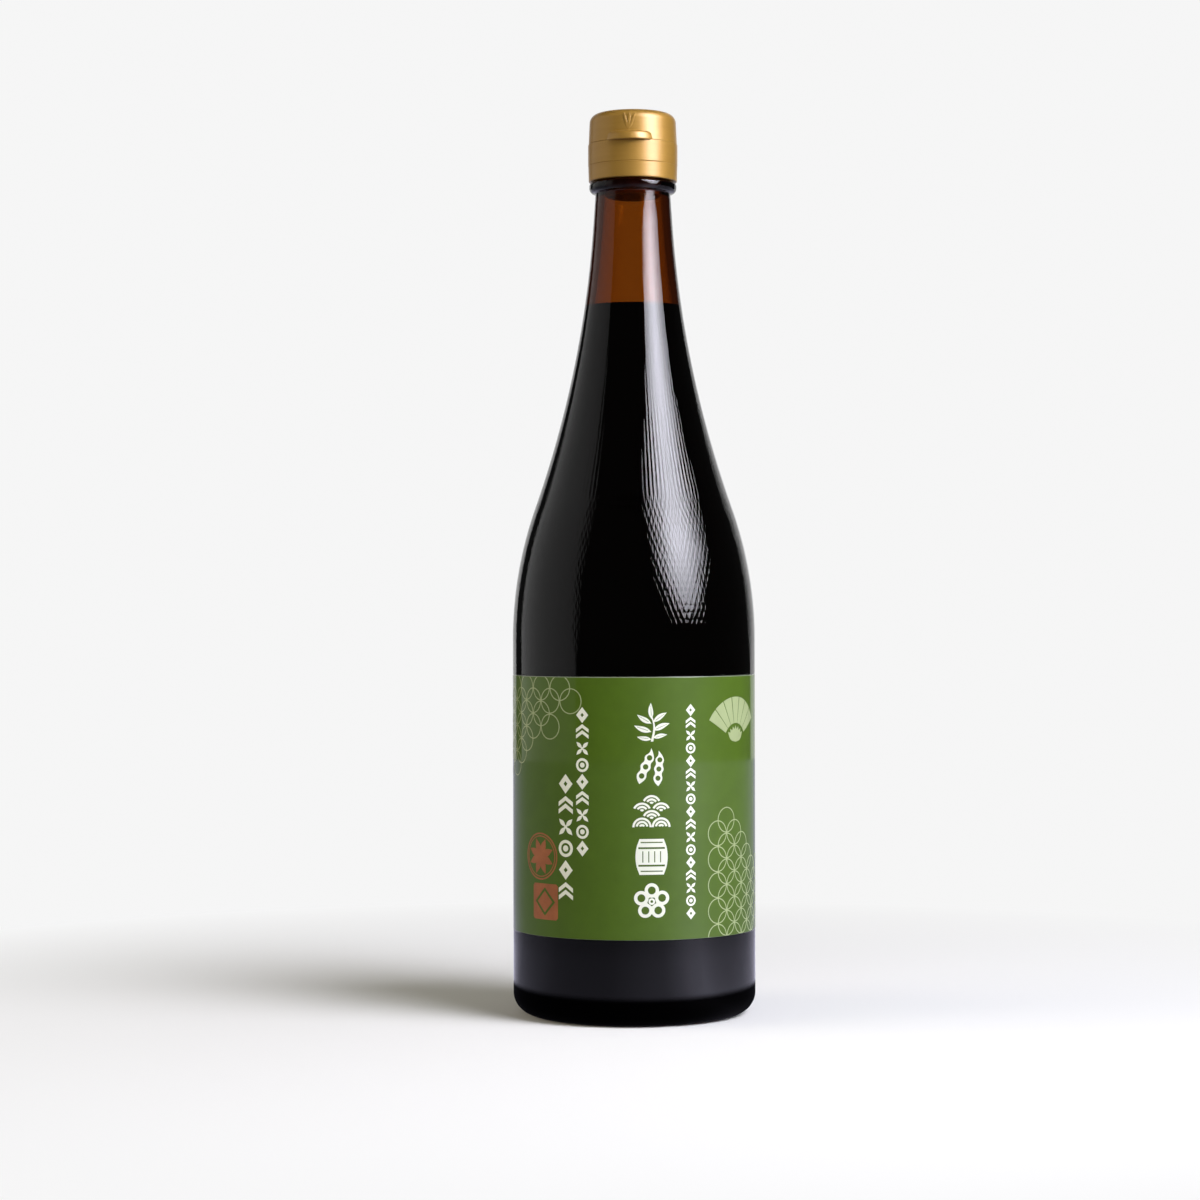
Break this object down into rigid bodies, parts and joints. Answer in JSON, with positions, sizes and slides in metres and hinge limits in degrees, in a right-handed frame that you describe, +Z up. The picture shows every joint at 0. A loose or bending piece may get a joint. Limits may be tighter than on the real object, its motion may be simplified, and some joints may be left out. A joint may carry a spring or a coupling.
{
  "type": "soy sauce bottle",
  "caption": "Tall amber glass bottle of dark soy sauce with a long sloping neck, a green paper label and a gold flip-top cap, shut.",
  "frame": {"origin": "middle of the circle that the bottle stands on", "axes": "+Z up along the bottle's axis; the front of the label and the cap's thumb tab face -Y"},
  "size_m": [0.079, 0.079, 0.2933],
  "materials": {
    "glass": "smooth dark amber bottle glass",
    "sauce": "dark opaque soy sauce",
    "label": "green printed paper, satin",
    "cap": "satin gold-coloured moulded plastic"
  },
  "bodies": {
    "root": {"glass_bottle": "glass", "soy_sauce": "sauce", "label": "label", "cap_base": "cap", "cap_lid": "cap", "cap_hinge": "cap"}
  },
  "joints": []
}
